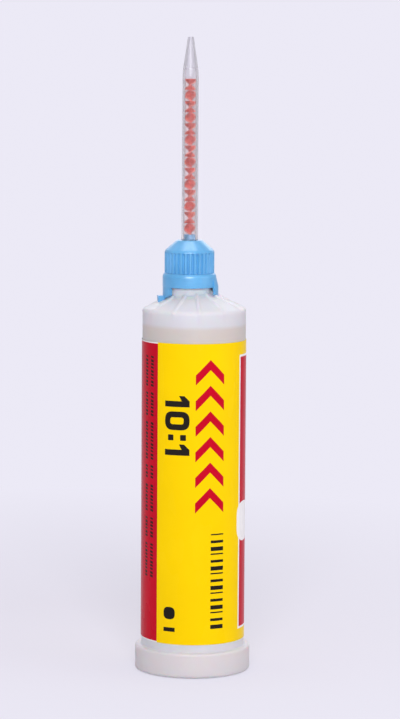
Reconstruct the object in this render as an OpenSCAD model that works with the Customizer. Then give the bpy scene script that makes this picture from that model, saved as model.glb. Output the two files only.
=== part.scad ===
// Two-component glue cartridge that stands on its foot ring, with a static mixing nozzle locked on its neck.
// The barrel's axis is Z, its foot stands on Z = 0, and the neck is set off towards -X.

/* [Barrel] */
// Outside diameter of the barrel
barrel_d = 30; // [28:0.5:34]
// Thickness of the barrel's wall
barrel_wall = 1.4; // [1.2:0.1:1.8]
// Height of the shoulder's rim above the floor
rim_z = 105.8; // [104:0.2:125]
// Slope of the conical shoulder, in degrees
shoulder_slope = 25; // [22:1:28]
// Radius that rounds the shoulder's rim
rim_round = 1.6; // [0.6:0.1:1.8]
// Outside diameter of the foot ring
foot_d = 33.6; // [32.5:0.1:38]
// Height of the foot ring
foot_h = 7.2; // [5:0.2:8.6]
// Chamfer on the edges of the foot ring and at the mouth of the bore
foot_chamfer = 0.4; // [0.2:0.1:0.6]

/* [Shoulder ribs] */
// Number of radial ribs on the shoulder
rib_count = 12; // [8:1:14]
// Turn of the ribs against the front
rib_turn = -2; // [-5:1:5]
// Width of a rib
rib_w = 0.9; // [0.6:0.05:1.2]
// How far a rib stands out of the shoulder at the rim
rib_rise = 0.3; // [0.2:0.05:0.5]
// How much steeper a rib runs than the shoulder, in degrees
rib_climb = 2; // [1:0.5:4]
// Length over which a rib fades down the barrel's side
rib_fade = 3.4; // [2.5:0.1:4]

/* [Neck] */
// Distance of the neck's axis from the barrel's axis
neck_shift = 1.5; // [1.2:0.1:2]
// Diameter of the neck's root
root_d = 13.2; // [12.4:0.1:13.4]
// Height of the root's flat top above the shoulder
root_h = 2.9; // [2.2:0.05:3.4]
// Diameter of the neck
neck_d = 9.2; // [9:0.1:9.6]
// Height of the neck above its root
neck_h = 5.4; // [5:0.1:7]
// Bore of the resin outlet
resin_outlet_d = 3.8; // [3.2:0.1:4]
// Bore of the activator outlet
activator_outlet_d = 1.8; // [1.4:0.1:2]
// Thickness of the wall between the two outlets
outlet_web = 1.2; // [1:0.1:1.4]
// Bore of the passage that leads the resin to its outlet
passage_d = 2.2; // [1.8:0.1:2.4]

/* [Bayonet] */
// Quarter turn that frees the retaining nut, in degrees
unlock_turn = 90; // [80:1:95]
// Thickness of the two catches on the neck
catch_h = 1.2; // [1:0.1:1.4]
// Angle that each catch spans
catch_arc = 76; // [70:1:80]
// Height of the two lugs inside the nut
lug_h = 1.3; // [1.1:0.1:1.6]
// Angle that each lug spans
lug_arc = 66; // [60:1:70]
// Running clearance of the nut on the neck
nut_slip = 0.08; // [0.05:0.01:0.1]
// Gap between faces that slide past each other in the lock
face_slip = 0.1; // [0.05:0.01:0.2]
// Gap under the nut's skirt
skirt_gap = 0.3; // [0.2:0.05:0.5]

/* [Retaining nut] */
// Diameter over the nut's flutes
nut_d = 14.4; // [14.2:0.1:14.8]
// Wall of the nut's skirt, inside the collar
skirt_wall = 0.9; // [0.8:0.05:1]
// Height of the fluted band
flute_h = 6.4; // [5.4:0.1:7]
// Number of grooves round the nut
flute_count = 32; // [24:1:36]
// Radius of a groove
flute_r = 0.45; // [0.35:0.05:0.5]
// Depth of a groove
flute_depth = 0.32; // [0.2:0.02:0.4]
// Diameter of the nut's top face
nut_top_d = 7.4; // [6.4:0.1:8]
// Height of the nut's cone
nut_cone_h = 3; // [2.6:0.1:3.4]
// Radius that rounds the nut's shoulder
nut_round = 0.5; // [0.3:0.1:0.7]

/* [Locking collar] */
// Wall of the collar
collar_wall = 0.9; // [0.8:0.05:1.2]
// Height of the collar's ring
collar_h = 4; // [3.6:0.1:4.4]
// How far the ring's lower edge lies below the top of the neck's root
collar_drop = 0.4; // [0.2:0.05:0.8]
// Clearance between the collar and the nut's skirt
collar_slip = 0.1; // [0.06:0.01:0.15]
// Size of the bevel round the collar's top
collar_bevel = 0.55; // [0.3:0.05:0.7]
// Angle that each wing spans
wing_arc = 73; // [60:1:80]
// How far the flared tab stands out of the wing at +X
flare = 0.65; // [0.4:0.05:1]
// Height over which the flared tab slopes out, above the ring's lower edge
flare_h = 2.8; // [2:0.1:2.9]
// Angle that the flared tab spans
flare_arc = 71; // [40:1:72]
// Wall of the flared tab below the ring
flare_wall = 0.7; // [0.5:0.05:0.8]
// Slope of the wings' lower edges, down to their feet, in degrees
wing_taper = 27; // [15:1:35]
// Width of each wing's foot, and of the foot lug
foot_w = 2.8; // [2:0.1:5]
// How far the foot lug reaches out of the collar
foot_lug = 1.45; // [1:0.05:2]
// Thickness of the foot lug above the shoulder
foot_lug_h = 1.2; // [0.9:0.1:2]
// Gap between the wings and the shoulder they stand on
seat_gap = 0.02; // [0.01:0.01:0.05]

/* [Mixer] */
// Outside diameter of the mixing tube just above the nut
mixer_d = 4.74; // [4.6:0.02:4.9]
// Outside diameter of the mixing tube where its tip begins
mixer_neck_d = 4.56; // [4.4:0.02:4.6]
// Bore of the mixing tube
mixer_bore = 3.3; // [3.2:0.02:3.4]
// Outside diameter of the tip
tip_d = 1.6; // [1.5:0.1:2.2]
// Bore of the tip
tip_bore = 0.9; // [0.6:0.1:1]
// Length of the tapered tip
tip_l = 10; // [8:0.1:14]
// Number of mixing elements
element_count = 14; // [8:1:16]
// Length of a mixing element, which makes half a turn
element_l = 3.195; // [3:0.005:3.4]
// Thickness of a mixing element's blade
blade = 0.8; // [0.6:0.05:0.9]
// Clearance between the elements and the bore
element_slip = 0.05; // [0.02:0.01:0.08]
// Free length of the bore above the last element
element_room = 1.1; // [0.5:0.1:2]
// Thickness of the mixing tube's flange
mixer_flange_h = 1.2; // [1:0.1:1.6]
// Thickness of the inlet's flange
inlet_flange_h = 1.2; // [1:0.1:1.6]
// Length of the inlet's stub that shows above the nut
stub_rise = 1.7; // [1:0.1:2.4]
// Bore of the inlet's stub
stub_bore = 1.8; // [1.4:0.1:2]
// Length of the nipples that plug into the neck
nipple_l = 3; // [2:0.1:4]
// Wall of the nipples
nipple_wall = 0.45; // [0.4:0.05:0.5]

/* [Contents] */
// Bore of the inner tube, which holds the activator
tube_bore = 8; // [7.8:0.1:8.2]
// Wall of the inner tube
tube_wall = 1.1; // [0.9:0.05:1.2]
// Distance of the inner tube's axis from the barrel's axis
tube_shift = 4.5; // [4.2:0.1:4.8]
// How far the inner tube ends above the barrel's foot
tube_recess = 3; // [1:0.5:8]
// How deep the inner tube's end sits in the shoulder
socket_depth = 3; // [2:0.1:3.6]
// Wall of the socket for the inner tube
socket_wall = 0.9; // [0.8:0.1:1.1]
// Thickness of the socket's floor
socket_floor = 0.8; // [0.6:0.1:1]
// Distance from the rim down to the liquid's surface
liquid_drop = 4.4; // [4:0.1:8]
// Length of the two fills
fill_l = 80; // [60:0.5:80]
// Length of the resin piston
piston_l = 10; // [8:0.1:11]
// Length of the activator piston
plug_l = 8; // [6:0.1:10]
// Running clearance of the pistons
piston_slip = 0.05; // [0.02:0.01:0.1]
// Thickness of the piston's face and skirts
piston_web = 1.6; // [1.2:0.1:2]
// Height of a sealing lip
lip_h = 1.4; // [1:0.1:1.8]
// How far the piston's body stands back behind its lips
lip_relief = 0.35; // [0.2:0.05:0.5]

/* [Label] */
// Height of the label's lower edge
label_z = 9.6; // [9:0.1:12]
// Height of the label
label_h = 87.4; // [80:0.2:88]
// Thickness of the label
label_t = 0.15; // [0.1:0.01:0.25]
// Gap between the barrel and the label, for the adhesive
label_gap = 0.02; // [0.01:0.01:0.05]
// Angle of bare barrel between the label's two ends, at the back
label_opening = 24; // [10:1:40]
// Angle at which the red band starts, from the front towards +X
band_start = -118; // [-125:1:-100]
// Angle that the red band spans
band_arc = 67; // [50:1:80]
// Angle at which the dark panel starts
panel_start = 52; // [48:1:56]
// Angle that the dark panel spans
panel_arc = 60; // [40:1:66]
// Height of the dark panel's lower edge above the label's
panel_foot = 3.4; // [2:0.1:6]
// Distance of the dark panel's top below the label's
panel_head = 3.8; // [2:0.1:6]
// Width of the white line round the dark panel
panel_line = 0.6; // [0.4:0.05:1]
// Number of red chevrons
chevron_count = 6; // [4:1:6]
// Width of a chevron
chevron_w = 8.6; // [6:0.1:9]
// Height of a chevron's arms
chevron_h = 4.4; // [3:0.1:5]
// Distance between one chevron and the next
chevron_pitch = 7.4; // [6.8:0.1:7.4]
// Height of the numerals, which are read from the side
numeral_h = 7.4; // [6:0.1:8]
// Thickness of the numerals' strokes
stroke = 1.7; // [1.2:0.1:2]
// Number of bars in the ladder of bars
bar_count = 15; // [8:1:16]

/* [Hidden] */
$fn = 96;
weld = 0.4;          // how deep the parts of one solid run into each other
through = 1;         // how far a cut runs past the face it opens
half_turn = 180;

barrel_r = barrel_d / 2;
bore_r = barrel_r - barrel_wall;
slope = tan(shoulder_slope);
function shoulder_z(r) = rim_z + (barrel_r - r) * slope;
side_turn = 90 - shoulder_slope;          // turn from the barrel's side to the shoulder
inner_drop = barrel_wall / cos(shoulder_slope);
rim_tangent = rim_round * tan(side_turn / 2);   // height that the rounded rim takes from the side

root_r = root_d / 2;
neck_r = neck_d / 2;
root_top = shoulder_z(root_r) + root_h;
neck_top = root_top + neck_h;

// The catches and lugs of the bayonet, from the neck's root upwards
nut_z = root_top + skirt_gap;
catch_z = nut_z + lug_h + face_slip;
lug_r = neck_r + nut_slip;
collar_z = root_top - collar_drop;
collar_top = collar_z + collar_h;
flute_z = collar_top + face_slip;
nut_r = nut_d / 2;
nut_cone_z = flute_z + flute_h;
nut_top = nut_cone_z + nut_cone_h;
collar_ri = nut_r - flute_depth;
skirt_r = collar_ri - collar_slip;
nut_bore_r = skirt_r - skirt_wall;
catch_r = nut_bore_r - nut_slip;
collar_r = collar_ri + collar_wall;
foot_z = shoulder_z(collar_r + neck_shift);   // height of the shoulder under the foot at -X
foot_edge = 0.15;    // height of a foot's side above the shoulder
wing_reach = collar_r * sin(wing_arc / 2);    // how far a wing reaches along Y
flute_end = 0.15;    // plain stretch between the grooves' ends and the nut's rounded shoulder
stop_step = 0.15;    // how far a stop stands back from its catch
stop_gap = 0.5;      // free angle at each end of the nut's turn
stop_arc = half_turn - lug_arc - unlock_turn - 2 * stop_gap;

// The mixer stands on the neck's top
inlet_top = neck_top + inlet_flange_h;
mixer_seat = inlet_top + mixer_flange_h;
ceiling_z = mixer_seat + face_slip;
stub_top = nut_top + stub_rise;
elements_top = stub_top + element_count * element_l;
bore_end = elements_top + element_room;
tip_land = 0.9;      // straight stretch of the tube above its bore's taper
tip_z = bore_end + tip_land;
mixer_top = tip_z + tip_l;
flange_slip = 0.35;  // clearance of the mixer's flange inside the nut
flange_r = nut_bore_r - flange_slip;
throat_r = mixer_d / 2 + face_slip;
root_cone_r = nut_top_d / 2;
element_r = mixer_bore / 2 - element_slip;
twist_steps = 16;    // slices in one element's half turn

// The outlets stand side by side in the neck, with equal walls outside them
resin_outlet_r = resin_outlet_d / 2;
activator_outlet_r = activator_outlet_d / 2;
outlet_wall = (neck_r * 2 - resin_outlet_d - activator_outlet_d - outlet_web) / 2;
resin_outlet_x = neck_r - outlet_wall - resin_outlet_r;
activator_outlet_x = activator_outlet_r + outlet_wall - neck_r;
nipple_slip = 0.04;  // clearance of the nipples in the outlets
nipple_bore_l = nipple_l + through + inlet_flange_h / 2;   // cut that opens a nipple into the flange

tube_r = tube_bore / 2 + tube_wall;
liquid_z = rim_z - liquid_drop;
fill_z = liquid_z - fill_l;
fill_slip = 0.03;    // gap between the liquids and the walls that hold them
socket_slip = 0.03;  // clearance of the inner tube in its socket
socket_r = tube_r + socket_slip + socket_wall;
socket_air = 1.4;    // air between the liquid's surface and the socket
socket_bottom = liquid_z + socket_air;
socket_top = socket_bottom + socket_depth;
passage_z = socket_top + socket_floor + passage_d / 2;

label_r = barrel_r + label_gap;
label_top = label_z + label_h;
label_half = half_turn - label_opening / 2;
print_depth = 3;     // half the depth of the cutters for printed figures
chevron_a = 10.5;    // angle of the chevrons' middle
chevron_z = 51;      // height of the lowest chevron's point
chevron_band = 2.9;  // thickness of a chevron's arms, upright
numeral_a = -26.5;   // angle of the numerals' middle
numeral_top = 80.5;  // height at which the numerals start
numeral_w = 5.4;     // width of a nought
numeral_gap = 1.3;   // space between numerals
nought_round = stroke * 1.3;  // radius of a nought's outer corners
nought_core = stroke * 0.4;   // radius of its inner corners
flag = stroke * 0.9;          // height of a one's flag
bar_a = 19.5;        // angle of the ladder's middle
bar_l = 4;           // length of a bar
bar_top = 42;        // height at which the ladder starts
bar_pitch = 1.9;     // distance between bars
bar_step = 0.4;      // height of the thinnest bar, and the step to the next
mark_a = -34.5;      // angle of the small mark's middle
mark_top = 20.5;     // height at which the small mark starts
mark_w = 3.6;        // width of the small mark
rule_angles = [-60, -70.5];   // the two broken rules in the red band
rule_w = 1.1;        // width of a broken rule
rule_words = [9, 7, 11, 4, 8, 6, 10];   // lengths of its dashes
rule_space = 1.6;    // gap between dashes
rule_head = 4;       // distance of the first dash below the label's top
badge_a = 66;        // angle of the white badge's middle
badge_z = 44.5;      // height of the white badge's middle
badge_w = 9.2;       // width of the badge
badge_h = 11.6;      // height of the badge
badge_round = 4.2;   // radius of its corners

function dash_top(i) = label_top - rule_head - (i == 0 ? 0 : [for (k = 0, s = 0; k < i; s = s + rule_words[k]
    + rule_space, k = k + 1) s + rule_words[k] + rule_space][i - 1]);
function label_turn(l) = l / label_r * half_turn / PI;   // angle of a length along the label
function arc(x, z, r, from, to, steps = 6) =
    [for (i = [0:steps]) let (a = from + (to - from) * i / steps) [x + r * cos(a), z + r * sin(a)]];

// A ring about Z between two angles, measured from the front towards +X
module sector(r0, r1, z0, z1, from, to)
    rotate([0, 0, from - 90])
        rotate_extrude(angle = to - from)
            translate([r0, z0]) square([r1 - r0, z1 - z0]);

module on_neck()
    translate([-neck_shift, 0, 0]) children();

module on_tube()
    translate([-tube_shift, 0, 0]) children();

// Barrel

// The closed outer form, from the foot to the shoulder's cone
module barrel_form() {
    foot_r = foot_d / 2;
    rotate([0, 0, half_turn / rib_count]) rotate_extrude()
        polygon(concat(
            [[0, 0], [foot_r - foot_chamfer, 0], [foot_r, foot_chamfer], [foot_r, foot_h - foot_chamfer],
                [foot_r - foot_chamfer, foot_h], [barrel_r, foot_h]],
            arc(barrel_r - rim_round, rim_z - rim_tangent, rim_round, 0, side_turn),
            [[root_r / 2, shoulder_z(root_r / 2)], [0, shoulder_z(root_r / 2)]]));
}

// One rib: a thin fin that fades in up the side, turns over the rim and climbs the cone to the neck
module rib() {
    inner_r = root_r / 2;
    crest_z = shoulder_z(inner_r) + rib_rise / cos(shoulder_slope)
        + (barrel_r - inner_r) * (tan(shoulder_slope + rib_climb) - slope);
    rotate([90, 0, 0]) translate([0, 0, -rib_w / 2]) linear_extrude(rib_w)
        polygon(concat(
            [[barrel_r - weld, rim_z - rib_fade], [barrel_r, rim_z - rib_fade]],
            arc(barrel_r - rim_round, rim_z - rim_tangent, rim_round + rib_rise, 0, side_turn),
            [[inner_r, crest_z], [inner_r, shoulder_z(inner_r) - weld],
                [barrel_r - rim_round, shoulder_z(barrel_r - rim_round) - weld],
                [barrel_r - weld, rim_z - rim_round]]));
}

module barrel_skin() {
    barrel_form();
    for (i = [0:rib_count - 1]) rotate([0, 0, i * 360 / rib_count - 90 + rib_turn]) rib();
}

// The space inside, open at the foot and closed by the shoulder
module barrel_bore()
    rotate_extrude()
        polygon([[0, -through], [bore_r + foot_chamfer, -through], [bore_r + foot_chamfer, 0],
            [bore_r, foot_chamfer * 2], [bore_r, shoulder_z(bore_r) - inner_drop],
            [root_r / 2, shoulder_z(root_r / 2) - inner_drop], [0, shoulder_z(root_r / 2) - inner_drop]]);

// A catch of the bayonet and the stop beside it
module catch() {
    sector(neck_r - weld, catch_r, catch_z, catch_z + catch_h, -catch_arc / 2, catch_arc / 2);
    sector(neck_r - weld, catch_r - stop_step, root_top - weld, catch_z + catch_h / 2,
        -lug_arc / 2 - stop_gap - stop_arc, -lug_arc / 2 - stop_gap);
}

module barrel() color([0.87, 0.86, 0.88]) {
    difference() {
        union() {
            difference() {
                union() {
                    barrel_skin();
                    on_neck() cylinder(r = root_r, h = root_top);
                }
                barrel_bore();
                on_neck() translate([0, 0, -through])
                    cylinder(r = root_r + weld, h = through + shoulder_z(root_r) - 2 * inner_drop);
            }
            on_neck() {
                translate([0, 0, passage_z]) cylinder(r = neck_r, h = neck_top - passage_z);
                for (a = [0, half_turn]) rotate([0, 0, a]) catch();
            }
            intersection() {
                on_tube() translate([0, 0, socket_bottom])
                    cylinder(r = socket_r, h = neck_top - socket_bottom);
                barrel_form();
            }
        }
        on_tube() translate([0, 0, socket_bottom - through])
            cylinder(r = tube_r + socket_slip, h = socket_depth + through);
        on_neck() {
            translate([activator_outlet_x, 0, socket_top - through])
                cylinder(r = activator_outlet_r, h = neck_top - socket_top + 2 * through);
            translate([resin_outlet_x, 0, passage_z])
                cylinder(r = resin_outlet_r, h = neck_top - passage_z + through);
            translate([resin_outlet_x, 0, passage_z])
                rotate([0, 90, 0]) cylinder(d = passage_d, h = socket_r);
        }
    }
}

module activator_tube() color([0.9, 0.9, 0.91])
    on_tube() translate([0, 0, tube_recess])
        difference() {
            cylinder(r = tube_r, h = socket_top - tube_recess);
            translate([0, 0, -through])
                cylinder(d = tube_bore, h = socket_top - tube_recess + 2 * through);
        }

// Pistons and contents

// A piston's outer wall, with a sealing lip at each end
module lipped_wall(r, h)
    rotate_extrude()
        polygon([[0, 0], [r - lip_relief, 0], [r, lip_relief], [r, lip_h],
            [r - lip_relief, lip_h + lip_relief], [r - lip_relief, h - lip_h - lip_relief],
            [r, h - lip_h], [r, h - lip_relief], [r - lip_relief, h], [0, h]]);

module resin_piston() color([0.93, 0.93, 0.9]) {
    outer_r = bore_r - piston_slip;
    sleeve_r = tube_r + piston_slip;
    translate([0, 0, fill_z - piston_l])
        difference() {
            lipped_wall(outer_r, piston_l);
            translate([0, 0, -through])
                difference() {
                    cylinder(r = outer_r - lip_relief - piston_web, h = piston_l - piston_web + through);
                    on_tube() cylinder(r = sleeve_r + piston_web, h = piston_l + through);
                }
            on_tube() translate([0, 0, -through]) cylinder(r = sleeve_r, h = piston_l + 2 * through);
        }
}

module activator_piston() color([0.93, 0.93, 0.9])
    on_tube() translate([0, 0, fill_z - plug_l])
        difference() {
            lipped_wall(tube_bore / 2 - piston_slip, plug_l);
            translate([0, 0, -through])
                cylinder(r = tube_bore / 2 - piston_slip - lip_relief - piston_web,
                    h = plug_l - piston_web + through);
        }

module resin_fill() color([0.86, 0.82, 0.78])
    translate([0, 0, fill_z])
        difference() {
            cylinder(r = bore_r - fill_slip, h = fill_l);
            on_tube() translate([0, 0, -through]) cylinder(r = tube_r + fill_slip, h = fill_l + 2 * through);
        }

module activator_fill() color([0.9, 0.88, 0.82])
    on_tube() translate([0, 0, fill_z]) cylinder(r = tube_bore / 2 - fill_slip, h = fill_l);

// Label, with each colour set into it

// The whole label, before its colours are set apart
module film()
    sector(label_r, label_r + label_t, label_z, label_top, -label_half, label_half);

// A cutter with a flat figure's outline, facing outwards at an angle and a height
module pressed(a, z)
    rotate([0, 0, a]) translate([0, -label_r + print_depth, z]) rotate([90, 0, 0])
        linear_extrude(2 * print_depth) children();

// A cutter for a field between two angles
module patch(from, to, z0, z1)
    sector(label_r - through, label_r + through, z0, z1, from, to);

module chevron()
    polygon([[-chevron_w / 2, 0], [0, chevron_h], [chevron_w / 2, 0],
        [chevron_w / 2, chevron_band], [0, chevron_h + chevron_band], [-chevron_w / 2, chevron_band]]);

module chevrons()
    for (i = [0:chevron_count - 1])
        pressed(chevron_a, chevron_z - chevron_band + i * chevron_pitch) chevron();

// Numerals lie on their side: their top points to +X, and they follow each other downwards
module one() {
    top = numeral_h / 2;
    polygon([[-top, -stroke], [top, -stroke], [top, 0], [top - flag, flag], [top - 2 * flag, flag],
        [top - 1.5 * flag, 0], [-top, 0]]);
}

module round_block(w, h, r) {
    x = w / 2 - r;
    y = h / 2 - r;
    polygon(concat(arc(x, y, r, 0, 90), arc(-x, y, r, 90, 180), arc(-x, -y, r, 180, 270),
        arc(x, -y, r, 270, 360)));
}

module nought()
    difference() {
        translate([0, -numeral_w / 2]) round_block(numeral_h, numeral_w, nought_round);
        translate([0, -numeral_w / 2])
            round_block(numeral_h - 2 * stroke, numeral_w - 2 * stroke, nought_core);
    }

module colon_dots()
    for (x = [-numeral_h / 4, numeral_h / 4]) translate([x - stroke / 2, -stroke]) square(stroke);

module numerals() {
    nought_z = numeral_top - stroke - numeral_gap;
    colon_z = nought_z - numeral_w - numeral_gap;
    pressed(numeral_a, numeral_top) one();
    pressed(numeral_a, nought_z) nought();
    pressed(numeral_a, colon_z) colon_dots();
    pressed(numeral_a, colon_z - stroke - numeral_gap * 2) one();
}

module ladder()
    for (i = [0:bar_count - 1])
        let (bar_h = bar_step * (1 + i % 3))
            pressed(bar_a, bar_top - i * bar_pitch - bar_h)
                translate([-bar_l / 2, 0]) square([bar_l, bar_h]);

module small_mark() {
    pressed(mark_a, mark_top - mark_w / 2) circle(d = mark_w, $fn = 48);
    pressed(mark_a, mark_top - 2 * mark_w) translate([-mark_w / 2, 0]) square([mark_w, mark_w / 3]);
}

module broken_rules()
    for (a = rule_angles, i = [0:len(rule_words) - 1])
        let (half = label_turn(rule_w / 2))
            patch(a - half, a + half, dash_top(i) - rule_words[i], dash_top(i));

module badge()
    pressed(badge_a, badge_z) round_block(badge_w, badge_h, badge_round);

module panel(inset = 0) {
    turn = label_turn(inset);
    patch(panel_start + turn, panel_start + panel_arc - turn,
        label_z + panel_foot + inset, label_top - panel_head - inset);
}

module red_band() patch(band_start, band_start + band_arc, label_z - through, label_top + through);

module label() color([1, 0.86, 0])
    difference() {
        film();
        red_band();
        panel();
        badge();
        chevrons();
        numerals();
        ladder();
        small_mark();
    }

module red_print() color([0.8, 0.06, 0.17])
    difference() {
        intersection() {
            film();
            union() {
                red_band();
                panel(panel_line);
                chevrons();
            }
        }
        broken_rules();
        badge();
    }

module white_print() color([0.97, 0.96, 0.96])
    intersection() {
        film();
        union() {
            difference() {
                panel();
                panel(panel_line);
            }
            badge();
        }
    }

module black_print() color([0.1, 0.09, 0.08])
    intersection() {
        film();
        union() {
            numerals();
            ladder();
            small_mark();
            broken_rules();
        }
    }

// Locking collar: a ring about the nut's skirt, on two wings that stand on the shoulder
module collar_wall_form()
    rotate_extrude()
        polygon([[collar_ri, rim_z], [collar_r, rim_z], [collar_r, collar_top - 2 * collar_bevel],
            [collar_r - collar_bevel, collar_top], [collar_ri, collar_top]]);

// The flared tab on the wing at +X, about the neck's axis
module flared_tab()
    rotate([0, 0, -flare_arc / 2])
        rotate_extrude(angle = flare_arc)
            polygon([[collar_r - weld, rim_z], [collar_r + flare, rim_z], [collar_r + flare, collar_z],
                [collar_r - weld, collar_z + flare_h]]);

// What is cut away below the ring: its open front and rear, and the hollow behind the flared tab
module collar_notches() {
    for (a = [0, half_turn])
        sector(collar_ri - through, collar_r + flare + through, rim_z - through, collar_z,
            a - 90 + wing_arc / 2, a + 90 - wing_arc / 2);
    sector(collar_ri - through, collar_r + flare - flare_wall, rim_z - through, collar_z,
        90 - wing_arc / 2 - through, 90 + wing_arc / 2 + through);
}

// The wedges that narrow each wing down to its foot
module wing_tapers() {
    wide = wing_reach + flare;
    edge_z = foot_z + foot_edge;
    for (side = [0, 1])
        mirror([0, side, 0]) translate([-collar_r - foot_lug - through, 0, 0]) rotate([90, 0, 90])
            linear_extrude(2 * (collar_r + foot_lug + through))
                polygon([[foot_w / 2, rim_z - through], [wide, rim_z - through],
                    [wide, edge_z + (wide - foot_w / 2) * tan(wing_taper)], [foot_w / 2, edge_z]]);
}

module locking_collar() color([0.42, 0.7, 0.93])
    difference() {
        on_neck()
            difference() {
                union() {
                    collar_wall_form();
                    flared_tab();
                    translate([-collar_r - foot_lug, -foot_w / 2, rim_z])
                        cube([foot_lug + collar_wall / 2, foot_w, foot_z + foot_lug_h - rim_z]);
                }
                collar_notches();
                wing_tapers();
            }
        translate([0, 0, seat_gap]) barrel_skin();
    }

// Retaining nut
module groove(a)
    rotate([0, 0, a]) translate([nut_r + flute_r - flute_depth, 0, flute_z - through])
        cylinder(r = flute_r, h = flute_h - nut_round - flute_end + through, $fn = 24);

module nut_form()
    rotate_extrude()
        polygon(concat(
            [[nut_bore_r, nut_z], [skirt_r, nut_z], [skirt_r, flute_z], [nut_r, flute_z]],
            arc(nut_r - nut_round, nut_cone_z - nut_round, nut_round, 0, 50, 4),
            [[nut_top_d / 2, nut_top], [throat_r, nut_top], [root_cone_r + face_slip, ceiling_z],
                [nut_bore_r, ceiling_z]]));

module retaining_nut() color([0.42, 0.7, 0.93])
    on_neck() {
        difference() {
            nut_form();
            for (i = [0:flute_count - 1]) groove(i * 360 / flute_count);
        }
        for (a = [0, half_turn])
            sector(lug_r, nut_bore_r + weld, nut_z, nut_z + lug_h, a - lug_arc / 2, a + lug_arc / 2);
    }

// Mixer

// The inlet's flange lies on the neck, its nipples plug the outlets and its stub feeds the tube
module mixer_inlet() color([0.42, 0.7, 0.93])
    on_neck()
        difference() {
            union() {
                translate([0, 0, neck_top]) cylinder(r = neck_r, h = inlet_flange_h);
                translate([0, 0, neck_top]) cylinder(r = element_r, h = stub_top - neck_top);
                translate([resin_outlet_x, 0, neck_top - nipple_l])
                    cylinder(r = resin_outlet_r - nipple_slip, h = nipple_l + weld);
                translate([activator_outlet_x, 0, neck_top - nipple_l])
                    cylinder(r = activator_outlet_r - nipple_slip, h = nipple_l + weld);
            }
            translate([resin_outlet_x, 0, neck_top - nipple_l - through])
                cylinder(r = resin_outlet_r - nipple_slip - nipple_wall, h = nipple_bore_l);
            translate([activator_outlet_x, 0, neck_top - nipple_l - through])
                cylinder(r = activator_outlet_r - nipple_slip - nipple_wall, h = nipple_bore_l);
            translate([activator_outlet_x, -activator_outlet_r / 2, neck_top + inlet_flange_h / 4])
                cube([resin_outlet_x - activator_outlet_x, activator_outlet_r, inlet_flange_h / 4]);
            translate([0, 0, neck_top + inlet_flange_h / 4])
                cylinder(d = stub_bore, h = stub_top - neck_top);
        }

module mixer_tube() color([0.92, 0.92, 0.94], 0.5)
    on_neck()
        rotate_extrude()
            polygon([[mixer_bore / 2, inlet_top], [flange_r, inlet_top], [flange_r, mixer_seat],
                [root_cone_r, mixer_seat], [mixer_d / 2, nut_top - face_slip], [mixer_neck_d / 2, tip_z],
                [tip_d / 2, mixer_top], [tip_bore / 2, mixer_top], [mixer_bore / 2, bore_end]]);

// Each element turns half a turn the other way from the last, and starts across it
module mixing_elements() color([0.84, 0.36, 0.36])
    on_neck() translate([0, 0, stub_top])
        for (i = [0:element_count - 1])
            translate([0, 0, i * element_l]) rotate([0, 0, 90 * (i + 1)])
                linear_extrude(element_l, twist = (i % 2 == 0 ? 1 : -1) * half_turn,
                    slices = twist_steps, segments = 4)
                    square([2 * element_r, blade], center = true);

barrel();
activator_tube();
resin_piston();
activator_piston();
resin_fill();
activator_fill();
label();
red_print();
white_print();
black_print();
locking_collar();
retaining_nut();
mixer_inlet();
mixer_tube();
mixing_elements();
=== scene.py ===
# A two-component glue cartridge with its mixing nozzle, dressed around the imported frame.
import math

import bmesh
import bpy
from mathutils import Matrix, Vector


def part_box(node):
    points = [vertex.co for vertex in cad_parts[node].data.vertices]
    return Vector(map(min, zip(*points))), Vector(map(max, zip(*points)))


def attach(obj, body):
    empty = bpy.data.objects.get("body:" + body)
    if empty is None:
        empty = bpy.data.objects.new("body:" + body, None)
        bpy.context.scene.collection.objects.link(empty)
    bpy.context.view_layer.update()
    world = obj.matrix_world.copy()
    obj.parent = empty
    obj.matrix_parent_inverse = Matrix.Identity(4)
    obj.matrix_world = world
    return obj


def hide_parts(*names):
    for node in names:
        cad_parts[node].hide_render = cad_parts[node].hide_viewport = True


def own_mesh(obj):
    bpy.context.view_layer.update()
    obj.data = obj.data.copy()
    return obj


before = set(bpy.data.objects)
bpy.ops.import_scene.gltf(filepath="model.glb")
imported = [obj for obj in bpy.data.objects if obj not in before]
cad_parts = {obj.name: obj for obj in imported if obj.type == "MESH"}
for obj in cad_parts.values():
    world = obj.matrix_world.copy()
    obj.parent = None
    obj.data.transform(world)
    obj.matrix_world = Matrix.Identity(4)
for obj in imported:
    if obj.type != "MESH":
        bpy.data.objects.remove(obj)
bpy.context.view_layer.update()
mm = 0.001
fullTurn = 2 * math.pi
print("frame loaded")


def nodeBox(node):  # a CAD node's lowest and highest corners, in millimetres
    low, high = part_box(node)
    return low / mm, high / mm


barrelLow, barrelHigh = nodeBox("barrel")
fillLow, fillHigh = nodeBox("resin_fill")
labelLow, labelHigh = nodeBox("label")
collarLow, collarHigh = nodeBox("locking_collar")
nutLow, nutHigh = nodeBox("retaining_nut")
inletLow, inletHigh = nodeBox("mixer_inlet")
tubeLow, tubeHigh = nodeBox("mixer_tube")
bladeLow, bladeHigh = nodeBox("mixing_elements")
innerLow, innerHigh = nodeBox("activator_tube")
neckX = (nutLow.x + nutHigh.x) / 2  # the neck's axis
innerX = (innerLow.x + innerHigh.x) / 2  # the inner tube's axis


# Mesh helpers


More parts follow.
